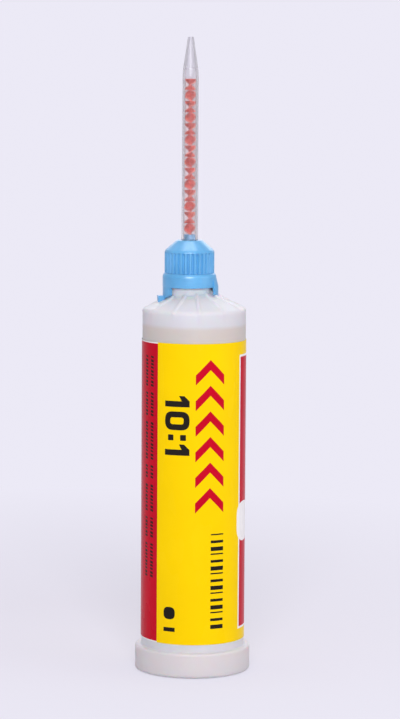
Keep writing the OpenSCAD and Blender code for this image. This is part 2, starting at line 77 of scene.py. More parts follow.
def rounded(points, radii, steps=4):  # a closed outline with its corners rounded
    shaped = []
    for i, here in enumerate(points):
        radius = radii[i] if isinstance(radii, (list, tuple)) else radii
        before = Vector(points[i - 1]) - Vector(here)
        after = Vector(points[(i + 1) % len(points)]) - Vector(here)
        reach = min(radius, before.length * 0.45, after.length * 0.45)
        if reach < 0.005 or here[0] == 0:
            shaped.append(tuple(here))
            continue
        start = Vector(here) + before.normalized() * reach
        end = Vector(here) + after.normalized() * reach
        for k in range(steps + 1):
            t = k / steps
            p = start * (1 - t) ** 2 + Vector(here) * 2 * t * (1 - t) + end * t * t
            shaped.append((p.x, p.y))
    return shaped


def subdivided(points, longest):  # extra points on an outline's long sides
    shaped = []
    for i, here in enumerate(points):
        after = points[(i + 1) % len(points)]
        pieces = max(1, math.ceil(math.dist(here, after) / longest))
        for k in range(pieces):
            t = k / pieces
            shaped.append((here[0] + (after[0] - here[0]) * t, here[1] + (after[1] - here[1]) * t))
    return shaped


def addTurned(bm, outline, x=0.0, steps=128, closed=True):  # spins an outline in radius and height
    verts = [bm.verts.new((x + r, 0, z)) for r, z in outline]
    pairs = list(zip(verts, verts[1:]))
    if closed:
        pairs.append((verts[-1], verts[0]))
    edges = [bm.edges.new(pair) for pair in pairs]
    bmesh.ops.spin(
        bm, geom=verts + edges, cent=(x, 0, 0), axis=(0, 0, 1), angle=fullTurn, steps=steps, use_merge=True
    )


def cleaned(bm, distance=0.0005):
    bmesh.ops.remove_doubles(bm, verts=bm.verts, dist=distance)
    loose = [v for v in bm.verts if not v.link_faces]
    bmesh.ops.delete(bm, geom=loose, context="VERTS")
    bmesh.ops.recalc_face_normals(bm, faces=bm.faces)


def makePiece(bm, name, material, sharpAngle=40):
    bmesh.ops.scale(bm, vec=(mm, mm, mm), verts=bm.verts)
    mesh = bpy.data.meshes.new(name)
    bm.to_mesh(mesh)
    bm.free()
    for face in mesh.polygons:
        face.use_smooth = True
    mesh.set_sharp_from_angle(angle=math.radians(sharpAngle))
    mesh.materials.append(material)
    piece = bpy.data.objects.new(name, mesh)
    bpy.context.scene.collection.objects.link(piece)
    return piece


def addBevel(piece, width, segments=2, angle=35):
    bevel = piece.modifiers.new("softEdges", "BEVEL")
    bevel.width = width * mm
    bevel.segments = segments
    bevel.limit_method = "ANGLE"
    bevel.angle_limit = math.radians(angle)
    bevel.harden_normals = True
    return piece


def smoothStep(t):
    t = min(max(t, 0.0), 1.0)
    return t * t * (3 - 2 * t)


# Material helpers


class Wire:  # an output socket that can be used in sums
    def __init__(self, tree, socket):
        self.tree = tree
        self.socket = socket

    def node(self, kind, settings, inputs, output=0):
        made = self.tree.nodes.new(kind)
        for key, value in settings.items():
            if key == "stops":
                fillRamp(made.color_ramp, value)
            else:
                setattr(made, key, value)
        for key, value in inputs.items():
            if isinstance(value, Wire):
                self.tree.links.new(value.socket, made.inputs[key])
            else:
                made.inputs[key].default_value = value
        return Wire(self.tree, made.outputs[output])

    def math(self, operation, a, b=0.0):
        return self.node("ShaderNodeMath", {"operation": operation}, {0: a, 1: b})

    def __add__(self, other):
        return self.math("ADD", self, other)

    def __sub__(self, other):
        return self.math("SUBTRACT", self, other)

    def __rsub__(self, other):
        return self.math("SUBTRACT", other, self)

    def __mul__(self, other):
        return self.math("MULTIPLY", self, other)

    def __truediv__(self, other):
        return self.math("DIVIDE", self, other)

    __radd__ = __add__
    __rmul__ = __mul__

    def root(self):
        return self.math("SQRT", self)

    def positive(self):
        return self.math("ABSOLUTE", self)

    def clamped(self):
        return self.node("ShaderNodeClamp", {}, {"Value": self})

    def ramp(self, stops):
        return self.node("ShaderNodeValToRGB", {"stops": stops}, {"Fac": self})

    def noise(self, scale, detail=3.0, roughness=0.5, output="Fac"):
        settings = {"noise_dimensions": "3D"}
        inputs = {"Vector": self, "Scale": scale, "Detail": detail, "Roughness": roughness}
        return self.node("ShaderNodeTexNoise", settings, inputs, output)

    def stretched(self, x, y, z):
        return self.node("ShaderNodeMapping", {}, {"Vector": self, "Scale": (x, y, z)})

    def mixed(self, a, b):  # colour a where this is 0, colour b where it is 1
        return self.node("ShaderNodeMix", {"data_type": "RGBA"}, {"Factor": self, 6: a, 7: b}, 2)

    def split(self):
        return [self.node("ShaderNodeSeparateXYZ", {}, {"Vector": self}, k) for k in range(3)]


def fillRamp(ramp, stops):
    while len(ramp.elements) < len(stops):
        ramp.elements.new(0.5)
    for element, (place, colour) in zip(ramp.elements, stops):
        element.position = place
        element.color = colour if isinstance(colour, tuple) else (colour, colour, colour, 1)


def newMaterial(name, **constants):  # a material, its shader and its object coordinates
    material = bpy.data.materials.new(name)
    material.use_nodes = True
    tree = material.node_tree
    shader = tree.nodes["Principled BSDF"]
    for key, value in constants.items():
        shader.inputs[key.replace("_", " ")].default_value = value
    coords = tree.nodes.new("ShaderNodeTexCoord")
    return material, shader, Wire(tree, coords.outputs["Object"])


def feed(shader, **wires):
    for key, wire in wires.items():
        wire.tree.links.new(wire.socket, shader.inputs[key.replace("_", " ")])


def bumped(height, strength, distance):
    return height.node("ShaderNodeBump", {}, {"Height": height, "Strength": strength, "Distance": distance})


# Sizes of the barrel and the mixer, which materials read too

barrel = {
    "radius": 15.0,
    "wall": 1.4,
    "rimHeight": 105.8,
    "slope": math.tan(math.radians(25)),
    "footRadius": barrelHigh.x,
    "footHeight": 7.2,
    "footRound": 0.9,
    "rimRound": 1.0,
    "rimDepth": 1.6,  # this near to the side, the ribs stand out sideways
    "ribs": 12,
    "ribTurn": math.radians(-2),
    "ribHalfWidth": 0.2,
    "ribFlank": 0.6,
    "ribRise": 0.2,
    "ribGrowth": 0.04,  # extra rise for each millimetre towards the neck
    "ribFade": 3.6,
    "rootRadius": 6.6,
    "rootTop": 112.617,
    "rootFillet": 1.0,
    "rootLow": 107.6,
    "neckShaft": 4.6,
    "ribRow": 0.45,  # longest mesh row where the ribs run
    "steps": 480,
}

mixer = {
    "flange": 5.5,
    "flangeTop": 120.4,
    "root": 3.7,
    "low": 2.37,
    "high": 2.28,
    "bore": 1.65,
    "tip": 0.8,
    "tipBore": 0.45,
    "tipLength": 10.0,
    "steps": 96,
    "elements": 14,
    "bladeCore": 1.05,
    "bladeEdge": 0.55,
    "bladeSteps": 20,
    "stubBore": 0.9,
    "plug": 4.6,  # the inlet's disc under the nozzle's flange
    "plugTop": 119.2,
}


# Materials


def milkyPlastic():
    look = {
        "pale": (0.87, 0.85, 0.9, 1),
        "warm": (0.84, 0.815, 0.86, 1),
        "wet": (0.79, 0.71, 0.675, 1),
        "foot": (0.83, 0.79, 0.81, 1),
        "rough": 0.45,
    }
    material, shader, place = newMaterial(
        "milkyPlastic", Transmission_Weight=0.3, IOR=1.49, Subsurface_Weight=0.3, Subsurface_Scale=0.003
    )
    flow = place.stretched(1, 1, 0.25).noise(90, 4)  # faint flow marks along the barrel
    grain = place.noise(2600, 2)
    height = place.split()[2] + (flow - 0.5) * 0.0006
    wet = ((fillHigh.z * mm - height) * 900 + 0.5).clamped()  # the wall is darker where the resin wets it
    dry = ((fillLow.z * mm - height) * 900 + 0.5).clamped()
    foot = ((barrel["footHeight"] * mm - height) * 900 + 0.5).clamped()
    upper = (wet - dry).clamped().mixed(flow.ramp([(0.3, look["warm"]), (0.7, look["pale"])]), look["wet"])
    feed(
        shader,
        Base_Color=foot.mixed(upper, look["foot"]),
        Roughness=(flow - 0.5) * 0.12 + look["rough"],
        Normal=bumped(flow * 0.7 + grain * 0.3, 0.12, 0.00006),
    )
    return material


def clearPlastic():
    look = {
        "pale": (0.97, 0.95, 0.97, 1),
        "grey": (0.93, 0.91, 0.94, 1),
        # painted light: the coral light that the blades scatter onto the bore's wall
        "glow": (1.0, 0.84, 0.82, 1),
        "tip": (0.88, 0.87, 0.9, 1),
        "rough": 0.09,
        "tipRough": 0.3,
    }
    material, shader, place = newMaterial(
        "clearPlastic", Transmission_Weight=0.97, IOR=1.45, Specular_IOR_Level=0.25
    )
    flow = place.stretched(1, 1, 0.12).noise(420, 3)
    frosted = ((place.split()[2] - bladeHigh.z * mm) * 250).clamped()
    wall = frosted.mixed(flow.ramp([(0.3, look["grey"]), (0.7, look["pale"])]), look["tip"])
    inside = ((mixer["bore"] + 0.2) * mm - fromNeckAxis(place)) * 4000
    below = (bladeHigh.z * mm - place.split()[2]) * 800
    glow = inside.clamped() * below.clamped()  # painted light: the bore's wall is tinted with the coral light that the blades scatter
    feed(
        shader,
        Base_Color=glow.mixed(wall, look["glow"]),
        Roughness=flow * 0.05 + look["rough"] + frosted * (look["tipRough"] - look["rough"]),
        Normal=bumped(flow, 0.03, 0.00002),
    )
    return material


def fromNeckAxis(place):  # distance from the neck's axis, in metres
    x, y = place.split()[:2]
    off = x - neckX * mm
    return (off * off + y * y).root()


def bluePlastic(name, deep, light, rough=0.3):
    material, shader, place = newMaterial(
        name, Subsurface_Weight=0.05, Subsurface_Scale=0.0003, Specular_IOR_Level=0.8
    )
    cloud = place.noise(160, 4)
    grain = place.noise(5200, 2)
    feed(
        shader,
        Base_Color=cloud.ramp([(0.32, deep), (0.68, light)]),
        Roughness=(grain - 0.5) * 0.16 + rough,
        Normal=bumped(grain, 0.16, 0.00003),
    )
    return material


def coralPlastic():
    look = {
        "deep": (0.78, 0.13, 0.1, 1),
        "light": (0.9, 0.19, 0.15, 1),
        "thin": (0.95, 0.4, 0.34, 1),
        "rough": 0.45,
    }
    material, shader, place = newMaterial("coralPlastic", Subsurface_Weight=0.25, Subsurface_Scale=0.0006)
    cloud = place.noise(500, 3)
    outward = fromNeckAxis(place) / (mm * mixer["bore"])
    pale = ((outward - 0.7) * 2.5).clamped()  # painted light: the blades are painted paler towards their edges, for light shining through them there
    feed(
        shader,
        Base_Color=pale.mixed(cloud.ramp([(0.3, look["deep"]), (0.7, look["light"])]), look["thin"]),
        Roughness=(cloud - 0.5) * 0.15 + look["rough"],
        Normal=bumped(place.noise(4200, 2), 0.15, 0.00003),
    )
    return material


def printedFilm(name, deep, light, rough=0.27):  # an ink under the label's laminate
    material, shader, place = newMaterial(name, Specular_IOR_Level=0.05, Coat_Roughness=0.25)
    cloud = place.noise(55, 5)
    screen = place.noise(7000, 1)  # the fine mottle of the print
    ripple = place.stretched(1, 1, 0.35).noise(120, 2)
    feed(
        shader,
        Base_Color=(cloud * 0.8 + screen * 0.2).ramp([(0.3, deep), (0.7, light)]),
        Roughness=(ripple - 0.5) * 0.1 + rough,
        Coat_Weight=ripple * 0.06,
        Normal=bumped(ripple * 0.85 + screen * 0.15, 0.1, 0.00005),
    )
    return material


def liquid(name, deep, light):
    material, shader, place = newMaterial(name, Subsurface_Weight=0.3, Subsurface_Scale=0.003, IOR=1.45)
    cloud = place.stretched(1, 1, 0.4).noise(70, 5)
    feed(
        shader,
        Base_Color=cloud.ramp([(0.3, deep), (0.7, light)]),
        Roughness=cloud * 0.1 + 0.12,
        Normal=bumped(cloud, 0.08, 0.0001),
    )
    return material


def waxyPlastic():
    material, shader, place = newMaterial("waxyPlastic", Subsurface_Weight=0.2, Subsurface_Scale=0.002)
    cloud = place.noise(260, 4)
    feed(
        shader,
        Base_Color=cloud.ramp([(0.3, (0.74, 0.74, 0.7, 1)), (0.7, (0.84, 0.84, 0.8, 1))]),
        Roughness=(cloud - 0.5) * 0.2 + 0.46,
        Normal=bumped(place.noise(3600, 2), 0.2, 0.00004),
    )
    return material


milky = milkyPlastic()
clear = clearPlastic()
blue = bluePlastic("bluePlastic", (0.085, 0.35, 0.66, 1), (0.12, 0.42, 0.75, 1))
# painted light: a lighter copy of the blue plastic for the inlet, which sits in the clear nozzle where little
# lamp light reaches it
litInletBlue = bluePlastic("litInletBlue", (0.2, 0.55, 0.88, 1), (0.26, 0.62, 0.95, 1))
coral = coralPlastic()
yellowFilm = printedFilm("yellowFilm", (0.91, 0.6, 0.0, 1), (0.97, 0.65, 0.0, 1))
redFilm = printedFilm("redFilm", (0.5, 0.001, 0.014, 1), (0.58, 0.003, 0.022, 1))
whiteFilm = printedFilm("whiteFilm", (0.84, 0.82, 0.83, 1), (0.92, 0.9, 0.9, 1))
blackFilm = printedFilm("blackFilm", (0.012, 0.01, 0.008, 1), (0.022, 0.018, 0.014, 1))
resin = liquid("resin", (0.56, 0.43, 0.37, 1), (0.66, 0.52, 0.45, 1))
activator = liquid("activator", (0.74, 0.68, 0.56, 1), (0.82, 0.76, 0.62, 1))
waxy = waxyPlastic()
print("materials made")


# Barrel


def coneHeight(radius):
    return barrel["rimHeight"] + (barrel["radius"] - radius) * barrel["slope"]


def ribRise(x, y, z):  # how far the ribs and the neck's fillet lift the skin there
    radius = math.hypot(x, y)
    pitch = fullTurn / barrel["ribs"]
    turn = math.atan2(y, x) + math.pi / 2 - barrel["ribTurn"]
    off = (turn / pitch - round(turn / pitch)) * pitch
    bump = 1 - smoothStep((abs(off) * radius - barrel["ribHalfWidth"]) / barrel["ribFlank"])
    inward = barrel["radius"] - radius
    rise = barrel["ribRise"] + barrel["ribGrowth"] * max(inward, 0)
    if inward < 1.0:
        rise *= smoothStep(1 - (barrel["rimHeight"] - z) / barrel["ribFade"])
    fromNeck = math.hypot(x - neckX, y) - barrel["rootRadius"]
    fillet = max(0.0, 1 - max(fromNeck, 0) / barrel["rootFillet"]) ** 2 * 0.5
    return bump * rise + (fillet if inward > 1.0 else 0.0)


def skinHeight(x, y):  # height of the shoulder's surface, ribs and all
    base = coneHeight(math.hypot(x, y))
    return base + ribRise(x, y, base) * 1.1


def makeBarrel():
    r, wall, slope = barrel["radius"], barrel["wall"], barrel["slope"]
    foot, top, footRound = barrel["footRadius"], barrel["footHeight"], barrel["footRound"]
    rim = barrel["rimHeight"]
    ribStart = rim - barrel["ribFade"] - 1
    inner = r - wall
    drop = wall / math.cos(math.atan(slope))  # the shoulder's wall, measured upright
    core = barrel["rootRadius"] * 0.55  # the shoulder ends inside the neck
    outline = [
        (inner, 0.3), (inner + 0.5, 0), (foot, 0), (foot, top), (r, top), (r, ribStart),
        (r, rim), (core, coneHeight(core)), (core, coneHeight(core) - drop),
        (inner, coneHeight(inner) - drop), (inner, 12),
    ]
    radii = [0.3, 0.3, footRound, footRound, 0.5, 0, barrel["rimRound"], 0, 0, 1.2, 0]
    shaped = subdivided(rounded(outline, radii, 5), 6.0)
    fine = []
    for here, after in zip(shaped, shaped[1:] + shaped[:1]):  # more rows where the ribs run
        fine.append(here)
        length = math.dist(here, after)
        outer = min(here[1], after[1]) > ribStart - 0.4 and here[0] > after[0] - 1e-6
        if outer and length > barrel["ribRow"] + 0.05 and min(coneGap(here), coneGap(after)) > -0.2:
            pieces = math.ceil(length / barrel["ribRow"])
            for k in range(1, pieces):
                t = k / pieces
                fine.append((here[0] + (after[0] - here[0]) * t, here[1] + (after[1] - here[1]) * t))
    bm = bmesh.new()
    addTurned(bm, fine, steps=barrel["steps"])
    cleaned(bm)
    for v in bm.verts:
        radius = math.hypot(v.co.x, v.co.y)
        gap = coneGap((radius, v.co.z))
        if v.co.z < ribStart or gap < -0.7 or (radius < r - 0.9 * wall and gap < -0.5):
            continue  # the inside stays plain
        lift = ribRise(v.co.x, v.co.y, v.co.z)
        out = smoothStep(1 - (r - radius) / barrel["rimDepth"])
        v.co.x += v.co.x / radius * lift * out
        v.co.y += v.co.y / radius * lift * out
        v.co.z += lift * (1 - out)
    addTurned(bm, neckOutline(), x=neckX, steps=96)
    bmesh.ops.recalc_face_normals(bm, faces=bm.faces)
    return makePiece(bm, "barrelShell", milky, 55)


def coneGap(point):  # how far a point in radius and height lies above the shoulder's cone
    return point[1] - coneHeight(min(point[0], barrel["radius"]))


def neckOutline():  # the neck stands in the shoulder: its root, its shaft and its top
    root, shaft, low = barrel["rootRadius"], barrel["neckShaft"], barrel["rootLow"]
    outline = [
        (0.02, low), (root - 1.2, low), (root, low + 0.8), (root, barrel["rootTop"]),
        (shaft, barrel["rootTop"]), (shaft, barrelHigh.z), (0.02, barrelHigh.z),
    ]
    return rounded(outline, [0, 0, 0.1, 0.35, 0.3, 0.2, 0], 4)


barrelPiece = makeBarrel()
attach(barrelPiece, "cartridge")
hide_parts("barrel")
print("barrel made")


# Liquids inside the barrel

filling = {
    "tubeWall": 1.1,
    "outerGap": 0.04,  # between the resin and the walls beside it
    "innerGap": 0.05,  # between the activator and its tube
    "dip": 0.4,  # the activator's surface sags in the middle
    "keep": 0.025,  # share of the height that is left when the pistons are up
}


def addPlate(bm, outer, inner, innerShift, z, steps=96):  # a flat ring whose hole stands off its middle
    loops = []
    for radius, x in ((outer, 0.0), (inner, innerShift)):
        place = Matrix.Translation((x, 0, z))
        made = bmesh.ops.create_circle(bm, segments=steps, radius=radius, matrix=place)
        loops += list({e for v in made["verts"] for e in v.link_edges})
    return bmesh.ops.bridge_loops(bm, edges=loops)["faces"]


def makeResin():
    gap = filling["outerGap"]
    outer, inner = fillHigh.x - gap, (innerHigh.x - innerLow.x) / 2 + gap
    bm = bmesh.new()
    faces = addPlate(bm, outer, inner, innerX, fillLow.z)
    lifted = bmesh.ops.extrude_face_region(bm, geom=faces)["geom"]
    bmesh.ops.translate(
        bm, vec=(0, 0, fillHigh.z - fillLow.z), verts=[g for g in lifted if isinstance(g, bmesh.types.BMVert)]
    )
    cleaned(bm)
    piece = makePiece(bm, "resinLiquid", resin)
    return addBevel(piece, 0.25, 3)


def makeActivator():
    radius = (innerHigh.x - innerLow.x) / 2 - filling["tubeWall"] - filling["innerGap"]
    bm = bmesh.new()
    outline = [(0, fillLow.z), (radius, fillLow.z), (radius, fillHigh.z), (0, fillHigh.z - filling["dip"])]
    addTurned(bm, rounded(outline, [0, 0.2, 0.15, 0], 3), x=innerX, steps=64, closed=False)
    cleaned(bm)
    return makePiece(bm, "activatorLiquid", activator)


for piece, node, slotName in (
    (makeResin(), "resin_fill", "resin"),
    (makeActivator(), "activator_fill", "activator"),
):
    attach(piece, "cartridge")
    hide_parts(node)
    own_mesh(piece)
print("liquids made")


# Label: flat figures that are cut into strips and wrapped round the barrel

label = {
    "radius": 15.02,
    "thick": 0.15,
    "ink": 0.012,  # how far the print stands out of the film
    "strip": 0.5,  # widest strip that it is cut into
    "corner": 1.5,
    "bottom": labelLow.z,
    "top": labelHigh.z,
    "opening": 24,
    "bandStart": -118,
    "bandArc": 67,
    "panelStart": 52,
    "panelArc": 60,
    "panelFoot": 3.4,
    "panelHead": 3.8,
    "panelLine": 0.6,
    "paperEdge": 0.35,
}
degree = label["radius"] * math.pi / 180  # millimetres along the label for one degree


def addFlat(bm, points):
    return bm.faces.new([bm.verts.new((x, 0, z)) for x, z in points])


def rectCorners(x0, x1, z0, z1):
    return [(x0, z0), (x1, z0), (x1, z1), (x0, z1)]


def addRect(bm, x0, x1, z0, z1):
    return addFlat(bm, rectCorners(x0, x1, z0, z1))


def roundedRect(x, z, w, h, r, steps=6):
    corners = [(x - w / 2, z - h / 2), (x + w / 2, z - h / 2), (x + w / 2, z + h / 2), (x - w / 2, z + h / 2)]
    return rounded(corners, r, steps)


def addFrame(bm, outer, inner):  # a flat ring between two outlines with as many points
    loops = []
    for outline in (outer, inner):
        verts = [bm.verts.new((x, 0, z)) for x, z in outline]
        loops += [bm.edges.new((verts[k - 1], verts[k])) for k in range(len(verts))]
    bmesh.ops.bridge_loops(bm, edges=loops)


def wrapped(bm, name, material, lift):  # gives flat print its thickness and bends it round the barrel
    low = min(v.co.x for v in bm.verts)
    high = max(v.co.x for v in bm.verts)
    cuts = math.ceil((high - low) / label["strip"])
    for k in range(1, cuts):
        geom = bm.verts[:] + bm.edges[:] + bm.faces[:]
        at = low + (high - low) * k / cuts
        bmesh.ops.bisect_plane(bm, geom=geom, plane_co=(at, 0, 0), plane_no=(1, 0, 0), dist=0.00001)
    for face in bm.faces:
        if face.normal.y > 0:
            face.normal_flip()
    flat = bm.verts[:]
    raised = bmesh.ops.extrude_face_region(bm, geom=bm.faces[:])["geom"]
    for v in raised:
        if isinstance(v, bmesh.types.BMVert):
            v.co.y = -(label["thick"] + lift)
    for v in flat:
        v.co.y = 0.0
    for v in bm.verts:
        radius = label["radius"] - v.co.y
        turn = v.co.x / label["radius"]
        v.co = Vector((radius * math.sin(turn), -radius * math.cos(turn), v.co.z))
    cleaned(bm, 0.0001)
    return makePiece(bm, name, material, 50)


def makeFilm():
    half, low, high = (180 - label["opening"] / 2) * degree, label["bottom"], label["top"]
    bm = bmesh.new()
    addFlat(bm, rounded([(-half, low), (half, low), (half, high), (-half, high)], label["corner"], 6))
    return wrapped(bm, "labelFilm", yellowFilm, 0.0)


def bandSides():
    return label["bandStart"] * degree, (label["bandStart"] + label["bandArc"]) * degree


def panelSides(inset=0.0):
    x0 = label["panelStart"] * degree + inset
    x1 = (label["panelStart"] + label["panelArc"]) * degree - inset
    return x0, x1, label["bottom"] + label["panelFoot"] + inset, label["top"] - label["panelHead"] - inset


chevrons = {"count": 6, "width": 8.6, "rise": 4.4, "arm": 2.9, "pitch": 7.4, "angle": 10.5, "bottom": 48.1}


def addChevrons(bm):
    x, half = chevrons["angle"] * degree, chevrons["width"] / 2
    for k in range(chevrons["count"]):
        z = chevrons["bottom"] + k * chevrons["pitch"]
        for side in (-1, 1):
            addFlat(
                bm,
                [
                    (x, z + chevrons["rise"]), (x + side * half, z),
                    (x + side * half, z + chevrons["arm"]), (x, z + chevrons["rise"] + chevrons["arm"]),
                ],
            )


def makeRedPrint():
    bm = bmesh.new()
    x0, x1 = bandSides()
    edge = label["paperEdge"]
    addRect(bm, x0, x1, label["bottom"] + edge, label["top"] - edge)
    addRect(bm, *panelSides(label["panelLine"]))
    addChevrons(bm)
    bmesh.ops.remove_doubles(bm, verts=bm.verts, dist=0.001)
    return wrapped(bm, "redPrint", redFilm, label["ink"])


badge = {"angle": 66, "z": 44.5, "width": 9.2, "height": 11.6, "round": 4.2}


def makeWhitePrint():
    bm = bmesh.new()
    x0, x1 = bandSides()
    edge = label["paperEdge"]
    for z in (label["bottom"], label["top"] - edge):
        addRect(bm, x0, x1, z, z + edge)
    addFrame(bm, rectCorners(*panelSides()), rectCorners(*panelSides(label["panelLine"])))
    return wrapped(bm, "whitePrint", whiteFilm, label["ink"])


def makeBadge():
    bm = bmesh.new()
    x, corner = badge["angle"] * degree, badge["round"]
    addFlat(bm, roundedRect(x, badge["z"], badge["width"], badge["height"], corner, 12))
    return wrapped(bm, "whiteBadge", whiteFilm, label["ink"] * 2)


figures = {"size": 7.4, "stroke": 1.7, "nought": 5.4, "gap": 1.3, "angle": -26.5, "top": 80.5}
ladder = {"bars": 15, "pitch": 1.9, "length": 4.0, "step": 0.4, "angle": 19.5, "top": 42.0}
mark = {"angle": -34.5, "top": 20.5, "width": 3.6}
rules = {
    "angles": (-60, -70.5),
    "width": 1.25,
    "words": (9, 7, 11, 4, 8, 6, 10),
    "space": 1.6,
    "tick": 0.72,
    "gap": 0.3,
}


def addOne(bm, z):  # a one that lies on its side, with its top towards +X
    x, half, stroke = figures["angle"] * degree, figures["size"] / 2, figures["stroke"]
    flag = stroke * 0.9
    addFlat(
        bm,
        [
            (x - half, z - stroke), (x + half, z - stroke), (x + half, z), (x + half - flag, z + flag),
            (x + half - 2 * flag, z + flag), (x + half - 1.5 * flag, z), (x - half, z),
        ],
    )


def addNumerals(bm):
    x, size, stroke, gap = figures["angle"] * degree, figures["size"], figures["stroke"], figures["gap"]
    width = figures["nought"]
    z = figures["top"]
    addOne(bm, z)
    z -= stroke + gap + width / 2
    addFrame(
        bm,
        roundedRect(x, z, size, width, stroke * 1.5),
        roundedRect(x, z, size - 2 * stroke, width - 2 * stroke, stroke * 0.45),
    )
    z -= width / 2 + gap + stroke / 2
    for side in (-1, 1):
        addFlat(bm, roundedRect(x + side * size / 4, z, stroke, stroke, 0.25, 3))
    addOne(bm, z - stroke / 2 - 2 * gap)


def addLadder(bm):
    x, half = ladder["angle"] * degree, ladder["length"] / 2
    for k in range(ladder["bars"]):
        z = ladder["top"] - k * ladder["pitch"]
        addRect(bm, x - half, x + half, z - ladder["step"] * (1 + k % 3), z)


def addRules(bm):  # broken rules of slanted ticks, in place of small print
    half = rules["width"] / 2
    slant = rules["width"] * 0.2
    for angle in rules["angles"]:
        x = angle * degree
        z = label["top"] - 4
        for word in rules["words"]:
            ticks = round(word / (rules["tick"] + rules["gap"]))
            for k in range(ticks):
                top = z - k * (rules["tick"] + rules["gap"])
                low = top - rules["tick"] * (0.72 + 0.28 * ((k * 5 + word) % 3) / 2)
                slanted = [(x - half, low), (x + half, low - slant), (x + half, top - slant), (x - half, top)]
                addFlat(bm, slanted)
            z -= word + rules["space"]


def makeBlackPrint():
    bm = bmesh.new()
    addNumerals(bm)
    addLadder(bm)
    addRules(bm)
    x, width = mark["angle"] * degree, mark["width"]
    addFlat(bm, roundedRect(x, mark["top"] - width / 2, width, width, width * 0.49, 10))
    addRect(bm, x - width / 2, x + width / 2, mark["top"] - 2 * width, mark["top"] - 2 * width + width / 3)
    return wrapped(bm, "blackPrint", blackFilm, label["ink"] * 1.6)


for piece, nodes, slotName in (
    (makeFilm(), ["label"], "label_yellow"),
    (makeRedPrint(), ["red_print"], "print_red"),
    (makeWhitePrint(), ["white_print"], "print_white"),
    (makeBadge(), [], "print_white"),
    (makeBlackPrint(), ["black_print"], "print_black"),
):
    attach(piece, "cartridge")
    if nodes:
        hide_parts(*nodes)
print("label made")


# Locking collar

collar = {
    "inner": 6.88,
    "outer": 7.78,
    "bottom": 112.217,
    "top": collarHigh.z,
    "bevel": 0.5,
    "bevelDrop": 1.0,
    "wingHalf": 36.5,
    "flare": 0.65,
    "flareTop": 115.0,
    "flareWall": 0.7,
    "footHalf": 1.4,
    "footLow": 108.617,
    "taper": math.tan(math.radians(27)),
    "lugReach": 1.45,
    "lugTop": 109.667,
    "steps": 180,
}


def turnAbout(point):  # angle about the neck's axis, in degrees from +X
    return math.degrees(math.atan2(point.y, point.x - neckX))


def wingFloor(x, y):  # a wing's lower edge there: it narrows to its foot and stands on the shoulder
    skin = skinHeight(x, y) + 0.02
    beside = abs(y) - collar["footHalf"]
    return max(skin, collar["footLow"] + beside * collar["taper"]) if beside > 0 else skin


def addRearWing(bm):  # the ring's wall runs down to the foot on the lug's side
    under = []
    for f in bm.faces:
        middle = f.calc_center_median()
        if f.normal.z < -0.9 and middle.z < collar["bottom"] + 0.05:
            if abs(abs(turnAbout(middle)) - 180) < collar["wingHalf"]:
                under.append(f)
    grown = bmesh.ops.extrude_face_region(bm, geom=under)["geom"]
    for v in grown:
        if isinstance(v, bmesh.types.BMVert):
            v.co.z = wingFloor(v.co.x, v.co.y)
    bmesh.ops.delete(bm, geom=under, context="FACES_ONLY")


def addFlaredWing(bm):  # a thin wall that leans out from under the ring's top
    half = math.radians(collar["wingHalf"])
    outer = collar["outer"] + collar["flare"]
    inner = outer - collar["flareWall"]
    outline = [
        (inner, 0), (outer, 0), (outer, collar["bottom"] - 0.2), (outer - 0.03, collar["bottom"] + 0.3),
        (collar["outer"] - 0.02, collar["flareTop"]), (collar["outer"] - 0.3, collar["flareTop"]),
        (collar["outer"] - 0.3, collar["bottom"] + 0.4), (inner, collar["bottom"] + 0.2),
    ]
    verts = [bm.verts.new((neckX + r * math.cos(half), -r * math.sin(half), z)) for r, z in outline]
    face = bm.faces.new(verts)
    geom = verts + list(face.edges) + [face]
    bmesh.ops.spin(bm, geom=geom, cent=(neckX, 0, 0), axis=(0, 0, 1), angle=2 * half, steps=36)
    for v in bm.verts:
        if v.co.z < 1:
            v.co.z = wingFloor(v.co.x, v.co.y)


def addLug(bm):  # the foot's lug, which points away from the neck
    size = (collar["lugReach"] + 0.45, 2 * collar["footHalf"], 1.0)
    made = bmesh.ops.create_cube(bm, size=1.0, matrix=Matrix.Diagonal((*size, 1)))["verts"]
    middle = neckX - collar["outer"] - collar["lugReach"] + size[0] / 2
    edges = list({e for v in made for e in v.link_edges})
    bmesh.ops.subdivide_edges(bm, edges=edges, cuts=5, use_grid_fill=True)
    for v in [v for v in bm.verts if abs(v.co.z) < 0.6]:
        x, y = v.co.x + middle, v.co.y
        low = skinHeight(x, y) + 0.03
        v.co = Vector((x, y, low + (v.co.z + 0.5) * (collar["lugTop"] - low)))


def makeCollar():
    inner, outer, bevel = collar["inner"], collar["outer"], collar["bevel"]
    low, top = collar["bottom"], collar["top"]
    outline = [
        (inner, low), (outer, low), (outer, top - collar["bevelDrop"]),
        (outer - bevel * 0.3, top - collar["bevelDrop"] * 0.45), (outer - bevel, top), (inner, top),
    ]
    bm = bmesh.new()
    addLug(bm)
    addTurned(bm, rounded(outline, [0.05, 0.12, 0.3, 0.25, 0.1, 0.05], 3), x=neckX, steps=collar["steps"])
    cleaned(bm)
    addRearWing(bm)
    addFlaredWing(bm)
    cleaned(bm)
    piece = makePiece(bm, "lockCollar", blue, 38)
    return addBevel(piece, 0.08, 2, 50)


# Retaining nut

nut = {
    "bore": 5.88,
    "skirt": 6.78,
    "outer": 7.2,
    "fluteLow": collarHigh.z + 0.03,
    "fluteHigh": 122.7,
    "top": nutHigh.z,
    "topRadius": 3.7,
    "throat": 2.48,
    "ceiling": 120.5,
    "rootCone": 3.8,
    "flutes": 32,
    "fluteSteps": 16,
    "fluteHalfWidth": 0.06,
    "fluteFlank": 0.5,
    "fluteDepth": 0.6,
    "lugHalf": 33,  # half of a lug's arc, in degrees
    "lugInner": 4.68,
    "lugHeight": 1.3,
}


